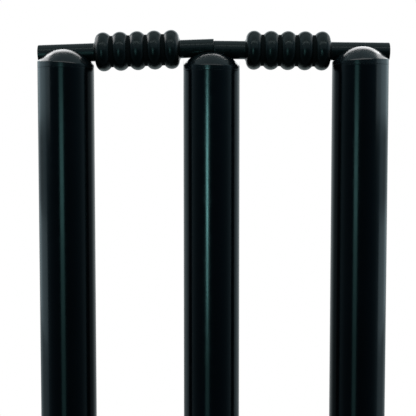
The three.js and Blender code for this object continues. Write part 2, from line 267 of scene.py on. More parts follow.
def box_mm(node):
    """The lowest and highest corners of a CAD node, in millimetres."""
    return [np.array(corner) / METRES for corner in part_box(node)]


def middle_of(node):
    low, high = box_mm(node)
    return (low + high) / 2


def axis_ends(node):
    """The two ends of a turned CAD node's axis in millimetres, the left end first."""
    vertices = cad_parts[node].data.vertices
    points = np.array([v.co for v in vertices]) / METRES
    middle = points.mean(axis=0)
    along = np.linalg.svd(points - middle, full_matrices=False)[2][0]
    along = along if along[0] > 0 else -along
    reach = (points - middle) @ along
    return middle + reach.min() * along, middle + reach.max() * along


# The cap's dome and groove, as heights over the plan of the stump. Height 0 is the seam.
def dome_profile():
    """The dome's sphere and rounded edge: radius, drop, fillet centre and where they meet."""
    radius = (STUMP_RADIUS**2 + DOME_HEIGHT**2) / (2 * DOME_HEIGHT)
    drop = radius - DOME_HEIGHT
    centre = STUMP_RADIUS + CREASE_OVERHANG - CREASE_FILLET
    height = math.sqrt((radius - CREASE_FILLET) ** 2 - centre**2) - drop
    meeting = radius * centre / (radius - CREASE_FILLET)
    return radius, drop, centre, height, meeting


def upright_dome(reach):
    """Height of the dome at a distance from its own axis."""
    radius, drop, centre, height, meeting = dome_profile()
    sphere = np.sqrt(np.maximum(radius**2 - reach**2, 0)) - drop
    edge = height + np.sqrt(np.maximum(CREASE_FILLET**2 - (reach - centre) ** 2, 0))
    return np.where(reach < meeting, sphere, edge)


def dome_height(x, y, cap):
    """Height of the leaning dome over a point of the plan."""
    lean = math.radians(cap["lean"])
    rise = np.zeros_like(y)
    for _ in range(LEAN_ROUNDS):
        across = math.cos(lean) * x - math.sin(lean) * rise
        upright = upright_dome(np.hypot(across, y))
        rise = (upright - math.sin(lean) * x) / math.cos(lean)
    return CAP_BAND + rise


def bowl_height(x, y, cap):
    """Height of the round-bottomed groove over a point of the plan."""
    bowl = GROOVE_RADIUS - np.sqrt(np.maximum(GROOVE_RADIUS**2 - y**2, 0))
    return CAP_BAND + cap["rise"] + cap["slope"] * x + bowl


def depth_at(x, y, cap):
    """How far the groove's surface lies below the dome."""
    place = np.array([float(y)])
    return float((dome_height(x, place, cap) - bowl_height(x, place, cap))[0])


def root_of(function, low, high):
    """Where a function changes sign between two values."""
    rising = function(high) > 0
    for _ in range(HALVINGS):
        middle = (low + high) / 2
        if (function(middle) > 0) == rising:
            high = middle
        else:
            low = middle
    return (low + high) / 2


def rim_at(x):
    """Half the stump's width at one X."""
    return math.sqrt(max(STUMP_RADIUS**2 - x**2, 0))


def lip_at(x, cap):
    """Half the groove's width at one X. It is 0 where the groove has run out."""
    if depth_at(x, 0, cap) <= 0:
        return 0.0
    far = min(rim_at(x), GROOVE_RADIUS)
    if depth_at(x, far, cap) >= 0:
        return far
    return root_of(lambda y: depth_at(x, y, cap), 0, far)


def along_line(line, start, stop, count, power=1.0):
    """Points spread along a line of points between two distances from its start."""
    steps = np.linalg.norm(np.diff(line, axis=0), axis=1)
    run = np.concatenate([[0], np.cumsum(steps)])
    places = start + (stop - start) * np.linspace(0, 1, count) ** power
    return np.column_stack([np.interp(places, run, line[:, k]) for k in (0, 1)])


def length_of(line):
    return float(np.linalg.norm(np.diff(line, axis=0), axis=1).sum())


def dome_line(x, lip, cap):
    """The dome from its rim in to the groove's lip, as [y, z] rows."""
    rim = rim_at(x)
    if lip >= rim:
        z = bowl_height(x, np.array([rim]), cap)[0]
        return np.tile([-rim, z], (FINE_STEPS, 1))
    y = -np.linspace(rim, lip, FINE_STEPS)
    return np.column_stack([y, dome_height(x, y, cap)])


def bowl_line(x, lip, cap):
    """The groove from its lip down to its middle, as [y, z] rows."""
    if lip <= 0:
        return np.tile([0, dome_height(x, np.zeros(1), cap)[0]], (FINE_STEPS, 1))
    angles = np.linspace(math.asin(min(lip / GROOVE_RADIUS, 1)), 0, FINE_STEPS)
    y = -GROOVE_RADIUS * np.sin(angles)
    bowl = np.column_stack([y, bowl_height(x, y, cap)])
    if lip < GROOVE_RADIUS or lip >= rim_at(x):
        return bowl
    top = [[-lip, dome_height(x, np.array([lip]), cap)[0]]]
    return np.concatenate([top, bowl])


def half_section(x, cap):
    """The cap's top at one X, from its rim in to the groove's middle, with a rounded lip."""
    lip = lip_at(x, cap)
    dome, bowl = dome_line(x, lip, cap), bowl_line(x, lip, cap)
    dome_run, bowl_run = length_of(dome), length_of(bowl)
    turn = min(LIP_ROUND, LONGEST_LIP * dome_run, LONGEST_LIP * bowl_run)
    outer = along_line(dome, 0, dome_run - turn, DOME_ROWS, RIM_CROWDING)
    inner = along_line(bowl, turn, bowl_run, BOWL_ROWS)
    t = np.linspace(0, 1, LIP_ROWS + 2)[1:-1, None]
    corner = dome[-1]
    bend = (1 - t) ** 2 * outer[-1] + 2 * t * (1 - t) * corner + t * t * inner[0]
    return np.concatenate([outer, bend, inner])


def cap_stations(cap):
    """The X of each cross-section, closer together where the groove runs out and at the rims."""
    keys = [-STUMP_RADIUS, STUMP_RADIUS]
    for end in (-1, 1):
        edge = end * STUMP_RADIUS * JUST_INSIDE
        if depth_at(edge, 0, cap) < 0:
            keys.append(root_of(lambda x: depth_at(x, 0, cap), 0, edge))
        else:
            start = end * WELL_INSIDE * STUMP_RADIUS
            keys.append(root_of(lambda x: depth_at(x, rim_at(x), cap), start, edge))
    keys.sort()
    places = []
    for low, high in zip(keys, keys[1:]):
        count = max(FEWEST_STATIONS, round(STATION_COUNT * (high - low) / (2 * STUMP_RADIUS)))
        t = (1 - np.cos(np.linspace(0, math.pi, count))) / 2
        places.extend(low + (high - low) * t[:-1])
    return places + [STUMP_RADIUS]


def cap_rings(rim_points, floor):
    """The band and the hollow plug under the dome's rim, as rings of points."""
    skirt = PLUG_RADIUS - PLUG_RELIEF
    cavity = PLUG_RADIUS - PLUG_WALL
    top = min(0, floor - CAP_ROOF)
    profile = rounded([
        (STUMP_RADIUS, BAND_STEADY, 0),
        (STUMP_RADIUS, 0, EDGE_ROUND),
        (skirt, 0, 0),
        (skirt, -CAP_PLUG_LENGTH, PLUG_LEAD_IN),
        (cavity, -CAP_PLUG_LENGTH, 0),
        (cavity, top, 0),
        (0, top, 0),
    ])
    rings = [[(x, y, z - CREASE_STEADY) for x, y, z in rim_points]]
    for radius, z in profile:
        share = radius / STUMP_RADIUS
        rings.append([(share * x, share * y, z) for x, y, _ in rim_points])
    return rings


def cap_mesh(cap):
    """Points and faces of a whole cap with its seam at height 0."""
    stations = cap_stations(cap)
    rows = []
    for x in stations:
        half = half_section(x, cap)
        mirrored = half[-2::-1] * [-1, 1]
        rows.append([(x, y, z) for y, z in np.concatenate([half, mirrored])])
    width = len(rows[0])
    points = [p for row in rows for p in row]
    faces = []
    for i in range(len(rows) - 1):
        for j in range(width - 1):
            a = i * width + j
            faces.append((a, a + width, a + width + 1, a + 1))
    front = [i * width for i in range(len(rows))]
    back = [i * width + width - 1 for i in range(len(rows) - 2, 0, -1)]
    loop = front + back
    rings = cap_rings([points[i] for i in loop], CAP_BAND + cap["rise"])
    above = loop
    for ring in rings:
        below = list(range(len(points), len(points) + len(ring)))
        points.extend(ring)
        for k in range(len(loop)):
            after = (k + 1) % len(loop)
            faces.append((above[k], above[after], below[after], below[k]))
        above = below
    return points, faces


def groove_slope(place):
    """An outer groove lies in line with its bail, and the middle one leans with its dome."""
    if place == "middle":
        return -math.tan(math.radians(DOME_LEAN[place]))
    left, right = axis_ends(f"{place}_bail")
    return (right[2] - left[2]) / (right[0] - left[0])


# Pieces
def dress(thing, node, body, material):
    """The piece stands for a CAD node, moves with its body and takes its finish."""
    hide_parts(node)
    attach(thing, body)
    thing.data.materials.clear()
    thing.data.materials.append(material)
    return thing


def add_tube(place, material):
    node = f"{place}_stump_tube"
    low, high = box_mm(node)
    bore = STUMP_RADIUS - TUBE_WALL
    profile = rounded([
        (bore, low[2], 0),
        (STUMP_RADIUS, low[2], EDGE_ROUND),
        (STUMP_RADIUS, low[2] + STEADY, 0),
        (STUMP_RADIUS, high[2] - STEADY, 0),
        (STUMP_RADIUS, high[2], EDGE_ROUND),
        (bore, high[2], 0),
    ])
    points, faces = turned(profile, TUBE_SIDES, closed=True)
    x, y, _ = middle_of(node)
    tube = piece(f"{place}_tube", moved(points, (x, y, 0)), faces)
    dress(tube, node, f"{place}_stump", material)


def add_cap(place, material):
    node = f"{place}_top_cap"
    tube = f"{place}_stump_tube"
    cap = {"lean": DOME_LEAN[place], "rise": GROOVE_RISE[place], "slope": groove_slope(place)}
    points, faces = cap_mesh(cap)
    x, y, _ = middle_of(tube)
    seam = box_mm(tube)[1][2]
    thing = piece(f"{place}_cap", moved(points, (x, y, seam)), faces)
    dress(thing, node, f"{place}_stump", material)


def add_foot_plug(place, material):
    node = f"{place}_foot_plug"
    low = box_mm(node)[0][2]
    seam = low + FLANGE_HEIGHT
    high = seam + FOOT_PLUG_LENGTH
    skirt = PLUG_RADIUS - PLUG_RELIEF
    cavity = PLUG_RADIUS - PLUG_WALL
    profile = rounded([
        (0, low, 0),
        (STUMP_RADIUS, low, FLANGE_ROUND),
        (STUMP_RADIUS, seam, EDGE_ROUND),
        (skirt, seam, 0),
        (skirt, high, PLUG_LEAD_IN),
        (cavity, high, 0),
        (cavity, seam, 0),
        (0, seam, 0),
    ])
    points, faces = turned(profile, TUBE_SIDES)
    x, y, _ = middle_of(node)
    plug = piece(f"{place}_plug", moved(points, (x, y, 0)), faces)
    dress(plug, node, f"{place}_stump", material)


def half_bead(middle, radius, start, stop):
    """Half of a bead's outline, between two angles from its crest."""
    return [(BARREL_RADIUS - radius * (1 - math.cos(t)), middle + radius * math.sin(t))
            for t in np.linspace(start, stop, BEAD_STEPS + 1)]


def bead_line(barrel_start):
    """The beads' outline: round crests over narrow flat valleys, and a flank at each end."""
    end = BEAD_FLANK + BEAD_END_RADIUS
    pitch = (BARREL_LENGTH - 2 * end) / (BEAD_COUNT - 1)
    inner = BEAD_RADIUS, math.acos(1 - BEAD_DEPTH / BEAD_RADIUS)
    outer = BEAD_END_RADIUS, math.pi / 2
    line = []
    for bead in range(BEAD_COUNT):
        middle = barrel_start + end + bead * pitch
        radius, reach = outer if bead == 0 else inner
        line += half_bead(middle, radius, -reach, 0)[:-1]
        radius, reach = outer if bead == BEAD_COUNT - 1 else inner
        line += half_bead(middle, radius, 0, reach)
    return line


def bail_ends(side):
    """The two ends of a bail's axis in millimetres, the outer end first."""
    left, right = axis_ends(f"{side}_bail")
    return (left, right) if side == "left" else (right, left)


def bail_profile(side):
    """A bail's [radius, length] outline from its outer end: spigot, beaded barrel, spigot."""
    left, right = axis_ends(f"{side}_bail")
    length = float(np.linalg.norm(right - left))
    start = LONG_SPIGOT[side]
    stop = start + BARREL_LENGTH
    outer = rounded([
        (0, 0, 0),
        (SPIGOT_RADIUS, 0, SPIGOT_ROUND),
        (SPIGOT_RADIUS, SPIGOT_ROUND + STEADY, 0),
        (SPIGOT_RADIUS, start - BAIL_FILLET - STEADY, 0),
        (SPIGOT_RADIUS, start, BAIL_FILLET),
        (SPIGOT_RADIUS + BEAD_FLANK, start + FLANK_LEAN, 0),
    ])[:-1]
    inner = rounded([
        (SPIGOT_RADIUS + BEAD_FLANK, stop - FLANK_LEAN, 0),
        (SPIGOT_RADIUS, stop, BAIL_FILLET),
        (SPIGOT_RADIUS, stop + BAIL_FILLET + STEADY, 0),
        (SPIGOT_RADIUS, length - SPIGOT_ROUND - STEADY, 0),
        (SPIGOT_RADIUS, length, SPIGOT_ROUND),
        (0, length, 0),
    ])[1:]
    return outer + bead_line(start) + inner


def mark_valleys(bail, side):
    """Marks the floors of the valleys between beads, where the material paints shade in place of the light
    that barely reaches them.
    """
    outer, inner = (Vector(end) for end in bail_ends(side))
    along = (inner - outer).normalized()
    mark = bail.data.attributes.new(VALLEY_MARK, "FLOAT", "POINT")
    floor = BARREL_RADIUS - BEAD_DEPTH
    low = LONG_SPIGOT[side] + BEAD_RADIUS
    high = low + BARREL_LENGTH - 2 * BEAD_RADIUS
    for vertex, value in zip(bail.data.vertices, mark.data):
        place = vertex.co / METRES - outer
        run = place.dot(along)
        rise = (place - run * along).length - floor
        value.value = max(0, 1 - rise / VALLEY_SHADE) if low < run < high else 0


def inner_end_plane(side):
    """The X at which a bail's inner end is cut upright, so that the two ends lie parallel."""
    middle = (axis_ends("left_bail")[1][0] + axis_ends("right_bail")[0][0]) / 2
    return middle + (INNER_END_GAP / 2 if side == "right" else -INNER_END_GAP / 2)


def add_bail(side, material):
    """A bail turned about its axis, with its inner end cut upright."""
    node = f"{side}_bail"
    outer, inner = bail_ends(side)
    points, faces = turned(bail_profile(side), BAIL_SIDES)
    along = Vector(inner - outer).normalized()
    turn = Vector((0, 0, 1)).rotation_difference(along).to_matrix()
    end = float(np.linalg.norm(inner - outer))
    plane = inner_end_plane(side)
    placed = []
    for x, y, z in points:
        place = turn @ Vector((x, y, z)) + Vector(outer)
        if z > end - SPIGOT_ROUND - END_TOLERANCE:
            place.x += plane - inner[0] - (turn @ Vector((x, y, 0))).x
        placed.append(tuple(place))
    bail = piece(f"{side}_bail_turned", placed, faces)
    mark_valleys(bail, side)
    dress(bail, node, node, material)


# Base
def base_ring(inset, height):
    """One level of the base's outline, as a ring of points."""
    radius = BASE_CORNER - inset
    x = BASE_LENGTH / 2 - BASE_CORNER
    y = BASE_DEPTH / 2 - BASE_CORNER
    ring = []
    for quarter, (cx, cy) in enumerate(((x, y), (-x, y), (-x, -y), (x, -y))):
        for t in np.linspace(0, 1, CORNER_STEPS + 1):
            angle = (quarter + t) * math.pi / 2
            ring.append((cx + radius * math.cos(angle), cy + radius * math.sin(angle), height))
    return ring


def lofted(rings):
    """Points and faces of a closed body through rings, lowest ring first."""
    count = len(rings[0])
    faces = [tuple(reversed(range(count)))]
    for level in range(len(rings) - 1):
        low = level * count
        for k in range(count):
            after = (k + 1) % count
            faces.append((low + k, low + after, low + count + after, low + count + k))
    top = (len(rings) - 1) * count
    faces.append(tuple(range(top, top + count)))
    return [p for ring in rings for p in ring], faces


def base_body(wall, bottom, top, foot_round=0):
    """The base's outside or, with a wall, its inside: a rim under a rounded shoulder."""
    rings = []
    if foot_round:
        for t in np.linspace(0, 1, ROUND_STEPS + 1)[:-1]:
            angle = t * math.pi / 2
            inset = wall + foot_round * (1 - math.sin(angle))
            rings.append(base_ring(inset, bottom + foot_round * (1 - math.cos(angle))))
    rings.append(base_ring(wall, bottom + foot_round))
    for step in range(SHOULDER_STEPS + 1):
        angle = (math.pi / 2) * step / SHOULDER_STEPS
        inset = wall + RIM_DRAFT + SHOULDER_RUN * (1 - math.cos(angle))
        rings.append(base_ring(inset, RIM_HEIGHT + (top - RIM_HEIGHT) * math.sin(angle)))
    return lofted(rings)


def collar_blank(x):
    """A socket's cup and collar before it is bored."""
    low = SOCKET_FLOOR - SOCKET_FLOOR_THICKNESS
    foot = COLLAR_RADIUS + COLLAR_DRAFT
    root = DECK_HEIGHT - DECK_THICKNESS / 2
    fillet = [(foot + COLLAR_FILLET * (1 - math.sin(t)), DECK_HEIGHT + COLLAR_FILLET * (1 - math.cos(t)))
              for t in np.linspace(0, math.pi / 2, COLLAR_STEPS + 1)]
    lip = rounded([
        (foot, DECK_HEIGHT + COLLAR_FILLET, 0),
        (COLLAR_RADIUS, COLLAR_TOP, COLLAR_LIP),
        (0, COLLAR_TOP, 0),
    ], COLLAR_STEPS)[1:]
    profile = [(0, low), (foot, low), (foot, root), (foot + COLLAR_FILLET, root)] + fillet + lip
    points, faces = turned(profile, TUBE_SIDES)
    return moved(points, (x, 0, 0)), faces


def socket_cutter(x):
    """The hole for a stump, with a rounded mouth and a drain in its floor."""
    low = SOCKET_FLOOR - SOCKET_FLOOR_THICKNESS - PAST_SURFACE
    mouth = [(SOCKET_RADIUS + BORE_ROUND * (1 - math.cos(t)), COLLAR_TOP - BORE_ROUND * (1 - math.sin(t)))
             for t in np.linspace(0, math.pi / 2, ROUND_STEPS + 1)]
    top = COLLAR_TOP + PAST_SURFACE
    profile = [
        (0, low),
        (DRAIN_RADIUS, low),
        (DRAIN_RADIUS, SOCKET_FLOOR),
        (SOCKET_RADIUS, SOCKET_FLOOR),
        *mouth,
        (SOCKET_RADIUS + BORE_ROUND, top),
        (0, top),
    ]
    points, faces = turned(profile, TUBE_SIDES)
    return moved(points, (x, 0, 0)), faces


def swoop(start, bend, stop):
    """A curve between two points that bends towards a third."""
    start, bend, stop = (np.array(p, float) for p in (start, bend, stop))
    line = [(1 - t) ** 2 * start + 2 * t * (1 - t) * bend + t * t * stop
            for t in np.linspace(0, 1, SWOOP_STEPS + 1)]
    return [tuple(p) for p in line]


def web_outline():
    """The web's top edge and foot, as [x, z] points."""
    left, middle, right = (middle_of(f"{place}_stump_tube")[0] for place in STUMPS)
    end = BASE_LENGTH / 2 - RIM_DRAFT - SHOULDER_RUN
    root = DECK_HEIGHT - DECK_THICKNESS / 2
    inner = SOCKET_RADIUS
    line = [(-end, root)]
    line += swoop((-end, DECK_HEIGHT), (left - COLLAR_RADIUS, DECK_HEIGHT), (left - inner, WEB_CROWN))
    for start, stop in ((left, middle), (middle, right)):
        bend = ((start + stop) / 2, WEB_CROWN - WEB_DIP)
        line += swoop((start + inner, WEB_CROWN), bend, (stop - inner, WEB_CROWN))
    line += swoop((right + inner, WEB_CROWN), (right + COLLAR_RADIUS, DECK_HEIGHT), (end, DECK_HEIGHT))
    return line + [(end, root)]


def web_blank():
    """The web, with its long edges rounded."""
    outline = np.array(web_outline())
    ahead = np.roll(outline, -1, axis=0) - np.roll(outline, 1, axis=0)
    normal = np.column_stack([-ahead[:, 1], ahead[:, 0]])
    normal /= np.linalg.norm(normal, axis=1)[:, None]
    top = outline[:, 1] > DECK_HEIGHT
    half = WEB_THICKNESS / 2
    layers = []
    for side in (-1, 1):
        for t in np.linspace(0, 1, ROUND_STEPS + 1)[::side]:
            angle = t * math.pi / 2
            inset = WEB_ROUND * (1 - math.sin(angle))
            y = side * (half - WEB_ROUND * (1 - math.cos(angle)))
            shifted = outline - np.where(top[:, None], inset * normal, 0)
            layers.append([(x, y, z) for x, z in shifted])
    return lofted(layers)


def cuboid(low, high):
    """Points and faces of an upright block between two corners."""
    (x0, y0, z0), (x1, y1, z1) = low, high
    return lofted([[(x0, y0, z), (x1, y0, z), (x1, y1, z), (x0, y1, z)] for z in (z0, z1)])


def under_ribs():
    """The ribs under the deck, which run past its walls before they are trimmed."""
    left, middle, right = (middle_of(f"{place}_stump_tube")[0] for place in STUMPS)
    half = RIB_THICKNESS / 2
    long, deep = BASE_LENGTH / 2, BASE_DEPTH / 2
    ribs = [cuboid((-long, -half, RIB_LOW), (long, half, DECK_HEIGHT))]
    for x in (left, left / 2, middle, right / 2, right):
        ribs.append(cuboid((x - half, -deep, RIB_LOW), (x + half, deep, DECK_HEIGHT)))
    return ribs


def foot_place(name):
    x, y, _ = middle_of(f"{name}_foot")
    return x, y, 0


def combined(first, second, operation):
    """first with second joined on, cut away or shared, and second removed."""
    change = first.modifiers.new(operation, "BOOLEAN")
    change.operation = operation
    change.solver = "MANIFOLD"
    change.object = second
    result = bpy.data.meshes.new_from_object(first.evaluated_get(bpy.context.evaluated_depsgraph_get()))
    first.modifiers.clear()
    first.data = result
    bpy.data.objects.remove(second)
    return first


def base_stiffening():
    """The ribs and screw bosses, trimmed to lie half inside the base's wall."""
    ribs = under_ribs()
    stiffening = piece("stiffening", *ribs[0])
    for rib in ribs[1:]:
        combined(stiffening, piece("rib", *rib), "UNION")
    boss = [(0, FOOT_HEIGHT), (BOSS_RADIUS, FOOT_HEIGHT), (BOSS_RADIUS, DECK_HEIGHT), (0, DECK_HEIGHT)]
    for name in FEET:
        points, faces = turned(boss, FOOT_SIDES)
        combined(stiffening, piece("boss", moved(points, foot_place(name)), faces), "UNION")
    core = base_body(BASE_WALL / 2, RIM_LIFT, DECK_HEIGHT - DECK_THICKNESS / 2)
    return combined(stiffening, piece("core", *core), "INTERSECT")


def add_base(material):
    base = piece("base_moulding", *base_body(0, RIM_LIFT, DECK_HEIGHT, RIM_ROUND))
    hollow = base_body(BASE_WALL, RIM_LIFT - PAST_SURFACE, DECK_HEIGHT - DECK_THICKNESS)
    combined(base, piece("hollow", *hollow), "DIFFERENCE")
    combined(base, base_stiffening(), "UNION")
    combined(base, piece("web", *web_blank()), "UNION")
    stump_xs = [middle_of(f"{place}_stump_tube")[0] for place in STUMPS]
    for x in stump_xs:
        combined(base, piece("collar", *collar_blank(x)), "UNION")
    for x in stump_xs:
        combined(base, piece("socket", *socket_cutter(x)), "DIFFERENCE")
    low = FOOT_HEIGHT - PAST_SURFACE
    pilot = [(0, low), (PILOT_RADIUS, low), (PILOT_RADIUS, PILOT_TOP), (0, PILOT_TOP)]
    for name in FEET:
        points, faces = turned(pilot, SCREW_SIDES)
        combined(base, piece("pilot", moved(points, foot_place(name)), faces), "DIFFERENCE")
    finished(base.data, BASE_SHARP_ANGLE)
    weighted = base.modifiers.new("weighted", "WEIGHTED_NORMAL")
    weighted.keep_sharp = True
    dress(base, "base", "base", material)


def add_foot(name, material):
    profile = rounded([
        (COUNTERBORE_RADIUS, 0, FOOT_EDGE_ROUND),
        (FOOT_RADIUS - FOOT_TAPER, 0, FOOT_SIDE_ROUND),
        (FOOT_RADIUS, FOOT_TAPER, FOOT_SIDE_ROUND),
        (FOOT_RADIUS - FOOT_TAPER, FOOT_HEIGHT, FOOT_EDGE_ROUND),
        (SCREW_HOLE_RADIUS, FOOT_HEIGHT, 0),
        (SCREW_HOLE_RADIUS, COUNTERBORE_DEPTH, 0),
        (COUNTERBORE_RADIUS, COUNTERBORE_DEPTH, COUNTERBORE_ROUND),
    ])
    points, faces = turned(profile, FOOT_SIDES, closed=True)
    foot = piece(f"{name}_rubber", moved(points, foot_place(name)), faces)
    dress(foot, f"{name}_foot", "base", material)


def add_screw(name, material):
    low = COUNTERBORE_DEPTH - SCREW_HEAD_HEIGHT
    tip = COUNTERBORE_DEPTH + SCREW_SHANK_LENGTH
    profile = rounded([
        (0, low, 0),
        (SCREW_HEAD_RADIUS, low, SCREW_HEAD_ROUND),
        (SCREW_HEAD_RADIUS, COUNTERBORE_DEPTH, SCREW_HEAD_EDGE),
        (SCREW_SHANK_RADIUS, COUNTERBORE_DEPTH, 0),
        (SCREW_SHANK_RADIUS, tip - SCREW_POINT, SCREW_POINT_ROUND),
        (0, tip, 0),
    ])
    points, faces = turned(profile, SCREW_SIDES)
    place = foot_place(name)
    screw = piece(f"{name}_screw", moved(points, place), faces)
    half = RECESS_WIDTH / 2
    for reach_x, reach_y in ((RECESS_REACH, half), (half, RECESS_REACH)):
        slot = cuboid((-reach_x, -reach_y, low - RECESS_OVERRUN), (reach_x, reach_y, low + RECESS_DEPTH))
        combined(screw, piece("slot", moved(slot[0], place), slot[1]), "DIFFERENCE")
    finished(screw.data)
    dress(screw, f"{name}_foot_screw", "base", material)


# Materials
def add_node(tree, kind, sockets=None, **settings):
    """A shader node with its settings, and each socket linked or set to a value."""
    node = tree.nodes.new(f"ShaderNode{kind}")
    for name, value in settings.items():
        setattr(node, name, value)
    for name, value in (sockets or {}).items():
        if isinstance(value, bpy.types.NodeSocket):
            tree.links.new(value, node.inputs[name])
        else:
            node.inputs[name].default_value = value
    return node


def noise(tree, size_mm, detail, stretch=(1, 1, 1)):
    """Noise with features of about one size on the surface, in the object's own space."""
    place = add_node(tree, "TexCoord").outputs["Object"]
    scaled = add_node(tree, "Mapping", {"Vector": place, "Scale": stretch})
    scale = 1 / (METRES * size_mm)
    texture = add_node(tree, "TexNoise", {"Vector": scaled.outputs[0], "Scale": scale, "Detail": detail})
    return texture.outputs[0]


def spread(tree, value, low, high, start=NOISE_LOW, stop=NOISE_HIGH):
    """A value between start and stop, spread between two other numbers."""
    sockets = {"Value": value, "From Min": start, "From Max": stop, "To Min": low, "To Max": high}
    return add_node(tree, "MapRange", sockets).outputs[0]


def mixed(tree, share, first, second):
    """A colour between two others, each a socket or three numbers."""
    node = add_node(tree, "Mix", data_type="RGBA")
    for place, value in ((MIX_SHARE, share), (MIX_FIRST, first), (MIX_SECOND, second)):
        if isinstance(value, bpy.types.NodeSocket):
            tree.links.new(value, node.inputs[place])
        else:
            node.inputs[place].default_value = (*value, 1)
    return node.outputs[MIX_RESULT]


def mottled(tree, size_mm, detail, dark, pale):
    """A colour that drifts between two others in patches of about one size."""
    return mixed(tree, spread(tree, noise(tree, size_mm, detail), 0, 1), dark, pale)


def patchy(tree, size_mm, detail, low, high):
    """A roughness that drifts between two values in patches of about one size."""
    return spread(tree, noise(tree, size_mm, detail), low, high)


def bumped(tree, value, height_mm, under=None):
    """A bump of one height, on top of another bump if there is one."""
    sockets = {"Height": value, "Distance": METRES * height_mm, "Strength": 1.0}
    if under:
        sockets["Normal"] = under
    return add_node(tree, "Bump", sockets).outputs[0]


def grained(tree, size_mm, detail, height_mm, under=None, stretch=(1, 1, 1)):
    """Bumps of about one size and height, on top of others if there are any."""
    return bumped(tree, noise(tree, size_mm, detail, stretch), height_mm, under)


def new_material(name):
    """A new material, its node tree and its shader."""
    material = bpy.data.materials.new(name)
    material.use_nodes = True
    tree = material.node_tree
    return material, tree, tree.nodes["Principled BSDF"]


def link_surface(tree, shader, colour, rough, normal):
    for name, value in (("Base Color", colour), ("Roughness", rough), ("Normal", normal)):
        tree.links.new(value, shader.inputs[name])


def gloss_black():
    """Lacquered black tube: almost smooth, slightly wavy, with faint marks along its length."""
    material, tree, shader = new_material("gloss_black")
    colour = mottled(tree, size_mm=55, detail=3,
                     dark=(0.0009, 0.0018, 0.0034), pale=(0.0017, 0.0033, 0.0056))
    rough = patchy(tree, size_mm=9, detail=4, low=0.13, high=0.19)
    wave = grained(tree, size_mm=24, detail=1, height_mm=0.06)
    peel = grained(tree, size_mm=2.2, detail=2, height_mm=0.0022, under=wave)
    drawn = grained(tree, size_mm=0.5, detail=2, height_mm=0.0006, under=peel, stretch=ALONG_TUBE)
    link_surface(tree, shader, colour, rough, drawn)
    shader.inputs["IOR"].default_value = PLASTIC_IOR
    return material


def cap_black():
    """Polished moulded plastic, a touch softer than the lacquer on the tubes."""
    material, tree, shader = new_material("cap_black")
    colour = mottled(tree, size_mm=14, detail=3,
                     dark=(0.0022, 0.0042, 0.0056), pale=(0.0050, 0.0082, 0.0100))
    rough = patchy(tree, size_mm=3.5, detail=4, low=0.17, high=0.25)
    soft = grained(tree, size_mm=6, detail=2, height_mm=0.008)
    grain = grained(tree, size_mm=0.35, detail=2, height_mm=0.0012, under=soft)
    link_surface(tree, shader, colour, rough, grain)
    shader.inputs["IOR"].default_value = PLASTIC_IOR
    return material


def satin_black():
    """Satin moulded plastic: a fine even grain, softly mottled, with painted shade and a rougher surface
    on the floors between a bail's beads.
    """
    material, tree, shader = new_material("satin_black")
    valley = add_node(tree, "Attribute", attribute_name=VALLEY_MARK).outputs["Fac"]
    plain = mottled(tree, size_mm=14, detail=3,
                    dark=(0.0036, 0.0062, 0.0058), pale=(0.0075, 0.0108, 0.0100))
    # painted shade: the marked valley floors are mixed towards a near-black colour
    colour = mixed(tree, valley, plain, VALLEY_PAINTED_SHADE)
    polished = patchy(tree, size_mm=3.5, detail=4, low=0.21, high=0.30)
    rough = spread(tree, valley, polished, VALLEY_ROUGHNESS, 0, 1)
    soft = grained(tree, size_mm=6, detail=2, height_mm=0.012)
    grain = grained(tree, size_mm=0.35, detail=2, height_mm=0.0030, under=soft)
    link_surface(tree, shader, colour, rough, grain)
    shader.inputs["IOR"].default_value = PLASTIC_IOR
    return material


def base_black():
    """Matt moulded plastic with a leathery grain and a little dust."""
    material, tree, shader = new_material("base_black")
    dust = spread(tree, noise(tree, size_mm=40, detail=5), 0, 1, DUST_LOW, DUST_HIGH)
    colour = mixed(tree, dust, (0.0065, 0.0080, 0.0088), (0.0150, 0.0170, 0.0176))
    rough = patchy(tree, size_mm=5, detail=4, low=0.46, high=0.60)
    place = add_node(tree, "TexCoord").outputs["Object"]
    cells = add_node(tree, "TexVoronoi", {"Vector": place, "Scale": 1 / (METRES * LEATHER_CELL)})
    pebble = bumped(tree, cells.outputs["Distance"], height_mm=0.03)
    grain = grained(tree, size_mm=0.4, detail=3, height_mm=0.012, under=pebble)
    link_surface(tree, shader, colour, rough, grain)
    return material


def rubber_black():
    """Dull rubber with dust ground into it."""
    material, tree, shader = new_material("rubber_black")
    colour = mottled(tree, size_mm=4, detail=5,
                     dark=(0.0045, 0.0046, 0.0048), pale=(0.0190, 0.0185, 0.0175))
    rough = patchy(tree, size_mm=1.5, detail=3, low=0.78, high=0.92)
    grain = grained(tree, size_mm=0.3, detail=3, height_mm=0.02)
    link_surface(tree, shader, colour, rough, grain)
    return material


def zinc_plate():
    """Bright zinc plate, a little mottled."""
    material, tree, shader = new_material("zinc_plate")
    colour = mottled(tree, size_mm=1.2, detail=4, dark=(0.52, 0.53, 0.53), pale=(0.68, 0.69, 0.68))
    rough = patchy(tree, size_mm=0.6, detail=3, low=0.24, high=0.42)
    grain = grained(tree, size_mm=0.2, detail=2, height_mm=0.003)
    link_surface(tree, shader, colour, rough, grain)
    shader.inputs["Metallic"].default_value = 1.0
    return material


# Stage: metres from here on
WHITE = (1.0, 1.0, 1.0)
FLOOR_REACH = 1.25
FLOOR_COLOUR = (0.82, 0.82, 0.81, 1)
FLOOR_ROUGHNESS = 0.9

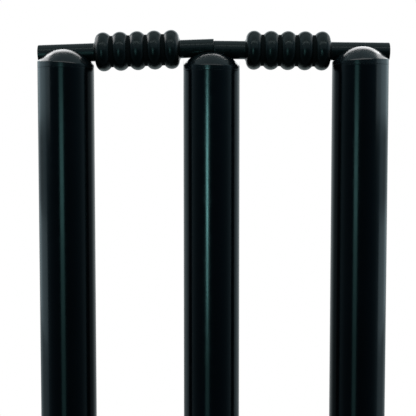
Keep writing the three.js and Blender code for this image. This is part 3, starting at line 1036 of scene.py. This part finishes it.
# The studio's glow: by depth with its red and blue shares, by height and by side
GLOW_BY_DEPTH = (
    (-1.0, 0.040, 0.5, 1.30),
    (-0.69, 0.07, 0.5, 1.30),
    (-0.57, 0.09, 0.55, 1.25),
    (-0.42, 0.12, 0.6, 1.20),
    (-0.25, 0.22, 0.6, 1.20),
    (-0.05, 0.30, 0.6, 1.18),
    (0.17, 0.32, 0.65, 1.15),
    (0.26, 0.26, 0.70, 1.10),
    (0.36, 0.14, 0.70, 1.10),
    (0.55, 0.16, 0.75, 1.10),
    (0.70, 0.40, 0.80, 1.05),
    (0.82, 0.75, 0.85, 1.05),
    (1.0, 1.0, 0.95, 1.0),
)
GLOW_BY_HEIGHT = (
    (-1.0, 0.12),
    (-0.50, 0.29),
    (-0.35, 0.38),
    (-0.22, 0.45),
    (-0.13, 0.55),
    (-0.03, 0.62),
    (0.037, 0.65),
    (0.12, 1.2),
    (0.50, 1.0),
    (0.70, 0.6),
    (1.0, 0.35),
)
GLOW_BY_SIDE = ((-1.0, 1.0), (1.0, 1.3))

# What the lights point at, and how far apart lights stand that share a place
CAPS_HEIGHT = 0.715
RIMS_HEIGHT = 0.71
BAILS_HEIGHT = 0.7
BASE_HEIGHT = 0.03
OUTER_CAP_X = 0.10
LIGHT_GAP = 0.01
SIDES = (("left", -1), ("right", 1))

# Each panel beside the wicket: its share of their distance, its near and far end, its foot and top,
# its radiance and the stumps it lights besides the one on its side
SIDE_COLOUR = (0.75, 1.0, 1.1)
SIDE_DISTANCE = 0.62
SIDE_PANELS = (
    ("side", 1.00, (-0.08, 0.62), 0.25, 0.95, 0.16, ("middle",)),
    ("side_middle", 1.02, (-0.08, 0.62), 0.42, 0.56, 0.28, ()),
    ("side_high", 1.04, (-0.08, 0.62), 0.67, 0.95, 0.52, ()),
    ("side_front", 1.06, (-0.32, -0.09), 0.67, 0.95, 0.50, ()),
)

# Each tall light in front: its gaps behind the first one, its width, its foot and top, its radiance
# and the stumps it lights, where none stands for every piece
STREAK_PLACE = (-0.37, -1.20)
STREAK_COLOUR = (0.4, 1.0, 1.0)
STREAKS = (
    ("streak", 0, 0.34, 0.05, 0.86, 0.27, ()),
    ("streak_upper", 1, 0.34, 0.33, 0.84, 0.20, ()),
    ("streak_short", 2, 0.30, 0.48, 0.70, 0.60, ()),
    ("middle_streak", -1, 0.12, 0.30, 0.85, 0.8, ("middle",)),
    ("middle_streak_upper", -2, 0.12, 0.36, 0.70, 2.9, ("middle",)),
    ("middle_streak_short", -3, 0.12, 0.48, 0.70, 2.9, ("middle",)),
)

CAMERA_PLACE = (-0.0033, -0.7092, 0.6623)
CAMERA_PITCH = 4.25
CAMERA_FOCAL_PIXELS = 1081.2
CAMERA_NEAR = 0.02
IMAGE_PIXELS = 416
SENSOR_WIDTH = 36.0


def add_camera():
    """The photograph's view: just under the caps, looking slightly down at the wicket."""
    data = bpy.data.cameras.new("camera")
    data.sensor_width = SENSOR_WIDTH
    data.lens = SENSOR_WIDTH * CAMERA_FOCAL_PIXELS / IMAGE_PIXELS
    data.clip_start = CAMERA_NEAR
    camera = bpy.data.objects.new("camera", data)
    camera.location = CAMERA_PLACE
    camera.rotation_euler = (math.radians(90 - CAMERA_PITCH), 0, 0)
    bpy.context.scene.collection.objects.link(camera)
    bpy.context.scene.camera = camera


def add_floor():
    """A pale floor that the wicket neither mirrors nor takes light from."""
    reach = FLOOR_REACH
    mesh = bpy.data.meshes.new("floor")
    corners = [(-reach, -reach, 0), (reach, -reach, 0), (reach, reach, 0), (-reach, reach, 0)]
    mesh.from_pydata(corners, [], [(0, 1, 2, 3)])
    floor = bpy.data.objects.new("floor", mesh)
    bpy.context.scene.collection.objects.link(floor)
    material, _, shader = new_material("floor")
    shader.inputs["Base Color"].default_value = FLOOR_COLOUR
    shader.inputs["Roughness"].default_value = FLOOR_ROUGHNESS
    mesh.materials.append(material)
    floor.visible_glossy = False
    floor.visible_diffuse = False


def add_softbox(name, place, aim, size, radiance, colour=WHITE, only=()):
    """A rectangular light facing a point. With only, it lights nothing but those pieces."""
    width, height = size
    data = bpy.data.lights.new(name, "AREA")
    data.shape = "RECTANGLE"
    data.size, data.size_y = width, height
    data.energy = 4 * radiance * width * height
    data.color = colour
    light = bpy.data.objects.new(name, data)
    light.location = place
    facing = Vector(aim) - Vector(place)
    light.rotation_euler = facing.to_track_quat("-Z", "Y").to_euler()
    light.visible_camera = False
    bpy.context.scene.collection.objects.link(light)
    if only:
        receivers = bpy.data.collections.new(f"{name}_receivers")
        for piece_name in only:
            receivers.objects.link(bpy.data.objects[piece_name])
        light.light_linking.receiver_collection = receivers


def tubes_and_caps(places):
    """The names of the seen pieces of some stumps."""
    return [f"{place}_{kind}" for place in places for kind in ("tube", "cap")]


def add_overhead_lights():
    """Soft light from above for everything, and a fill in front for the bails."""
    add_softbox("top", place=(0, 0, 1.60), aim=(0, 0, 0), size=(2.2, 1.0), radiance=0.24,
                colour=(0.75, 0.97, 1.0))
    add_softbox("front_edge", place=(0, -0.80, 1.66), aim=(0, 0, RIMS_HEIGHT), size=(2.4, 0.17),
                radiance=1.2, colour=(0.8, 1.0, 1.0))
    add_softbox("front_fill", place=(0, -1.17, 1.28), aim=(0, 0, RIMS_HEIGHT), size=(2.4, 0.66),
                radiance=0.15, colour=(0.7, 1.0, 1.1), only=BAIL_PIECES)


def add_base_lights():
    """Soft light for what the photograph doesn't show: the floor and the base."""
    base = ["base_moulding"] + [f"{name}_rubber" for name in FEET]
    add_softbox("floor_light", place=(0, 0, 1.95), aim=(0, 0, 0), size=(3.4, 3.4), radiance=1.0,
                colour=(1.0, 0.98, 0.95), only=["floor"])
    add_softbox("base_front", place=(-0.55, -1.05, 1.0), aim=(0, 0, BASE_HEIGHT), size=(1.4, 0.8),
                radiance=0.9, only=base)
    add_softbox("base_rear", place=(0.55, 1.05, 1.0), aim=(0, 0, BASE_HEIGHT), size=(1.4, 0.8),
                radiance=0.8, only=base)


def add_crest_lights():
    """Lights behind the domes, for their bright crests."""
    add_softbox("rear", place=(0, 1.04, 1.50), aim=(0, 0, CAPS_HEIGHT), size=(1.9, 0.95), radiance=3.4,
                only=[f"{place}_cap" for place in STUMPS])
    for (side, sign), radiance in zip(SIDES, (3.6, 3.2)):
        add_softbox(f"{side}_rear", place=(sign * 1.05, 0.45, 1.43), size=(1.1, 0.85), radiance=radiance,
                    aim=(sign * OUTER_CAP_X, 0, CAPS_HEIGHT), only=[f"{side}_cap"])


def add_bail_lights():
    """Lights beside, behind and under the bails. The brightest lights the left bail alone."""
    for (side, sign), radiance, pieces in zip(SIDES, (1.9, 0.5), (BAIL_PIECES[:1], BAIL_PIECES)):
        add_softbox(f"{side}_bails", place=(sign * 1.06, 0.45, 1.38), size=(1.0, 0.7), radiance=radiance,
                    aim=(sign * OUTER_CAP_X, 0, CAPS_HEIGHT), only=pieces)
    add_softbox("under_bails", place=(0, 0.62, 0.12), aim=(0, 0, BAILS_HEIGHT), size=(0.9, 0.5),
                radiance=0.35, colour=(0.8, 1.0, 1.0), only=BAIL_PIECES)


def add_crease_lights():
    """Lights in front, one for each cap, for the bright line at its rounded edge."""
    for step, (place, radiance) in enumerate(zip(STUMPS, (0.7, 0.45, 1.5))):
        add_softbox(f"{place}_crease", place=(0, -0.853 - LIGHT_GAP * step, 1.696), size=(2.0, 0.9),
                    aim=(0, 0, CAPS_HEIGHT), radiance=radiance, only=[f"{place}_cap"])


def add_side_lights():
    """Upright panels beside the wicket, which light the tubes' edges."""
    for side, sign in SIDES:
        for name, share, (near, far), low, high, radiance, others in SIDE_PANELS:
            x = sign * share * SIDE_DISTANCE
            y = (near + far) / 2
            middle = (low + high) / 2
            add_softbox(f"{side}_{name}", (x, y, middle), (0, y, middle), (far - near, high - low),
                        radiance, SIDE_COLOUR, tubes_and_caps([side, *others]))


def add_streaks():
    """Tall lights in front, which draw a line down the tubes."""
    x, y = STREAK_PLACE
    for name, step, width, low, high, radiance, places in STREAKS:
        middle = (low + high) / 2
        add_softbox(name, (x, y - LIGHT_GAP * step, middle), (0, 0, middle), (width, high - low), radiance,
                    STREAK_COLOUR, tubes_and_caps(places))


def add_lights():
    add_overhead_lights()
    add_base_lights()
    add_crest_lights()
    add_bail_lights()
    add_crease_lights()
    add_side_lights()
    add_streaks()


def ramp(tree, value, stops):
    """A colour that follows a value from -1 to 1 through [value, colour] stops."""
    share = add_node(tree, "MapRange", {"Value": value, "From Min": -1.0}).outputs[0]
    node = add_node(tree, "ValToRGB", {0: share})
    elements = node.color_ramp.elements
    while len(elements) < len(stops):
        elements.new(1.0)
    for element, (place, colour) in zip(elements, stops):
        element.position = (place + 1) / 2
        element.color = (*colour, 1)
    return node.outputs[0]


def product(tree, first, second):
    node = add_node(tree, "VectorMath", {0: first, 1: second}, operation="MULTIPLY")
    return node.outputs[0]


def add_world():
    """White behind the wicket, dim in front of it, and pure white where the camera looks past it."""
    world = bpy.data.worlds.new("studio")
    world.use_nodes = True
    bpy.context.scene.world = world
    tree = world.node_tree
    tree.nodes.clear()
    facing = add_node(tree, "SeparateXYZ", {0: add_node(tree, "TexCoord").outputs["Generated"]}).outputs
    glow = ramp(tree, facing["Y"], [
        (y, (red * level, level, blue * level)) for y, level, red, blue in GLOW_BY_DEPTH])
    height = ramp(tree, facing["Z"], [(z, (level,) * 3) for z, level in GLOW_BY_HEIGHT])
    side = ramp(tree, facing["X"], [(x, (level,) * 3) for x, level in GLOW_BY_SIDE])
    colour = product(tree, product(tree, glow, height), side)
    seen = add_node(tree, "LightPath").outputs["Is Camera Ray"]
    lit = add_node(tree, "Background", {"Color": colour, "Strength": 1.0})
    backdrop = add_node(tree, "Background", {"Color": (*WHITE, 1), "Strength": 1.0})
    either = add_node(tree, "MixShader", {0: seen, 1: lit.outputs[0], 2: backdrop.outputs[0]})
    add_node(tree, "OutputWorld", {"Surface": either.outputs[0]})


def add_wicket():
    gloss, cap, satin = gloss_black(), cap_black(), satin_black()
    rubber, zinc = rubber_black(), zinc_plate()
    for place in STUMPS:
        add_tube(place, gloss)
        add_cap(place, cap)
        add_foot_plug(place, satin)
    for side in ("left", "right"):
        add_bail(side, satin)
    add_base(base_black())
    for name in FEET:
        add_foot(name, rubber)
        add_screw(name, zinc)


add_wicket()
add_floor()
add_world()
add_lights()
add_camera()
bpy.context.scene.view_settings.view_transform = "Standard"
